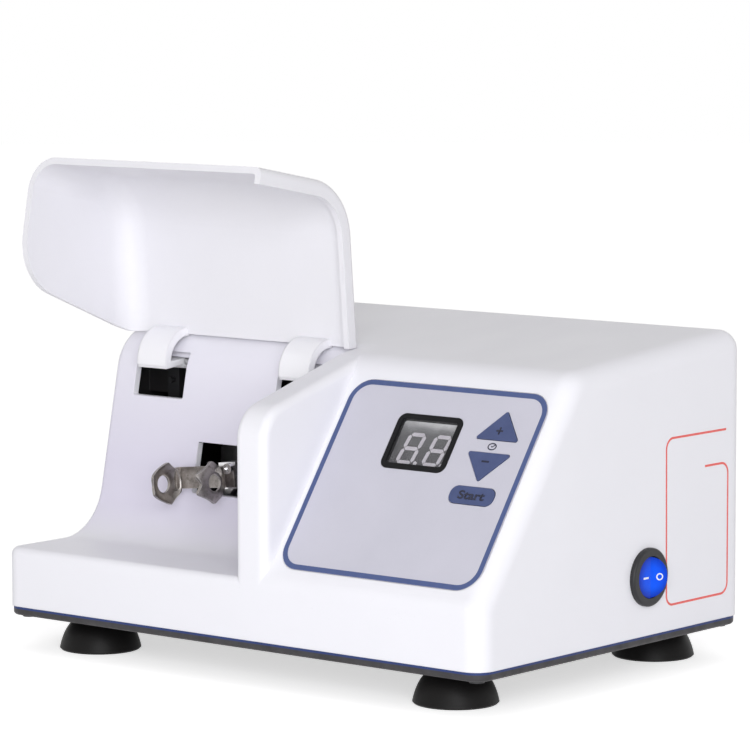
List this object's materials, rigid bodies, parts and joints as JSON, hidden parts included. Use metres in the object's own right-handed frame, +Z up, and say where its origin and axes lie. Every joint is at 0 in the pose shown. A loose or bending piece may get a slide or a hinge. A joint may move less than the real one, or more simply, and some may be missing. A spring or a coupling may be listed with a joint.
{
  "type": "dental amalgamator",
  "caption": "Bench-top dental capsule mixer with a hinged lid over a swinging capsule fork, and a sloping control panel with a display and keys.",
  "frame": {"origin": "centre of the bounding box's base, on the surface that the feet stand on", "axes": "+Z up, -Y towards the user, +X to the user's right, along the front"},
  "size_m": [0.255, 0.1794, 0.2035],
  "materials": {
    "housing_white": "gloss",
    "lid_white": "gloss",
    "base_grey": "satin",
    "foot_rubber": "matte",
    "steel": "brushed",
    "bright_steel": "polished",
    "black_steel": "satin",
    "panel_foil": "satin",
    "key_blue": "satin",
    "bezel_black": "gloss",
    "window": "gloss",
    "black_plastic": "matte",
    "segments": "matte",
    "board_green": "satin",
    "rocker_blue": "gloss",
    "fork_grey": "satin",
    "lever_alloy": "machined",
    "bronze": "satin",
    "copper": "polished",
    "coil": "satin",
    "fuse_glass": "gloss",
    "motor_grey": "satin",
    "magnet": "matte",
    "iron": "matte"
  },
  "bodies": {
    "housing": {"housing_shell": "housing_white", "base_pan": "base_grey", "suction_foot_front_left": "foot_rubber", "suction_foot_front_right": "foot_rubber", "suction_foot_back_left": "foot_rubber", "suction_foot_back_right": "foot_rubber", "foot_screws": "bright_steel", "housing_screws": "black_steel", "hinge_rod": "steel", "retaining_clips": "steel", "interlock_switch": "black_plastic", "panel_overlay": "panel_foil", "display_bezel": "bezel_black", "display_window": "window", "display_module": "black_plastic", "display_segments": "segments", "key_switches": "black_plastic", "control_board": "board_green", "board_screws": "bright_steel", "controller_chip": "black_plastic", "buzzer": "black_plastic", "heat_sink": "lever_alloy", "switch_body": "black_plastic", "mains_inlet": "black_plastic", "inlet_screws": "bright_steel", "fuse_holder": "black_plastic", "fuse_cap": "black_plastic", "glass_fuse": "fuse_glass", "transformer_core": "iron", "transformer_coil": "coil", "transformer_strap": "steel", "transformer_screws": "bright_steel", "motor_bracket": "steel", "motor_isolators": "foot_rubber", "bracket_screws": "bright_steel", "motor_screws": "bright_steel", "motor_front_cap": "lever_alloy", "motor_rear_cap": "lever_alloy", "motor_can": "motor_grey", "motor_bearings": "steel", "motor_magnets": "magnet", "pivot_pin": "steel"},
    "lid": {"lid_cover": "lid_white", "hinge_arm_left": "lid_white", "hinge_arm_right": "lid_white"},
    "lever": {"swing_lever": "lever_alloy", "lever_bush": "bronze", "capsule_fork": "fork_grey", "fork_screw": "bright_steel"},
    "rotor": {"motor_shaft": "steel", "rotor_core": "iron", "commutator": "copper", "eccentric_hub": "steel", "crank_bearing": "bright_steel"},
    "up_button": {"up_key": "key_blue"},
    "down_button": {"down_key": "key_blue"},
    "start_button": {"start_key": "key_blue"},
    "rocker": {"switch_rocker": "rocker_blue"},
    "plunger": {"interlock_plunger": "black_plastic"}
  },
  "joints": [
    {"name": "lid_hinge", "type": "hinge", "parent": "housing", "child": "lid", "pos_m": [-0.06245, -0.01325, 0.116], "axis": [1, 0, 0], "range_deg": [0, 100.5]},
    {"name": "lever_swing", "type": "hinge", "parent": "housing", "child": "lever", "pos_m": [-0.04845, -0.02075, 0.03], "axis": [0, 1, 0], "range_deg": [0, 12]},
    {"name": "motor_spin", "type": "hinge", "parent": "housing", "child": "rotor", "pos_m": [-0.04845, -0.02075, 0.056], "axis": [0, 1, 0], "continuous": true},
    {"name": "up_key_press", "type": "slide", "parent": "housing", "child": "up_button", "axis": [0, 0.8141, -0.5807], "range_m": [0, 0.0005], "stiffness_N_per_m": 600, "springref_m": -0.0008},
    {"name": "down_key_press", "type": "slide", "parent": "housing", "child": "down_button", "axis": [0, 0.8141, -0.5807], "range_m": [0, 0.0005], "stiffness_N_per_m": 600, "springref_m": -0.0008},
    {"name": "start_key_press", "type": "slide", "parent": "housing", "child": "start_button", "axis": [0, 0.8141, -0.5807], "range_m": [0, 0.0005], "stiffness_N_per_m": 600, "springref_m": -0.0008},
    {"name": "rocker_tilt", "type": "hinge", "parent": "housing", "child": "rocker", "pos_m": [0.12315, 0.01755, 0.0416], "axis": [0, 0, 1], "range_deg": [0, 24]},
    {"name": "interlock_press", "type": "slide", "parent": "housing", "child": "plunger", "axis": [0, 1, 0], "range_m": [0, 0.0012], "stiffness_N_per_m": 200, "springref_m": -0.002}
  ]
}
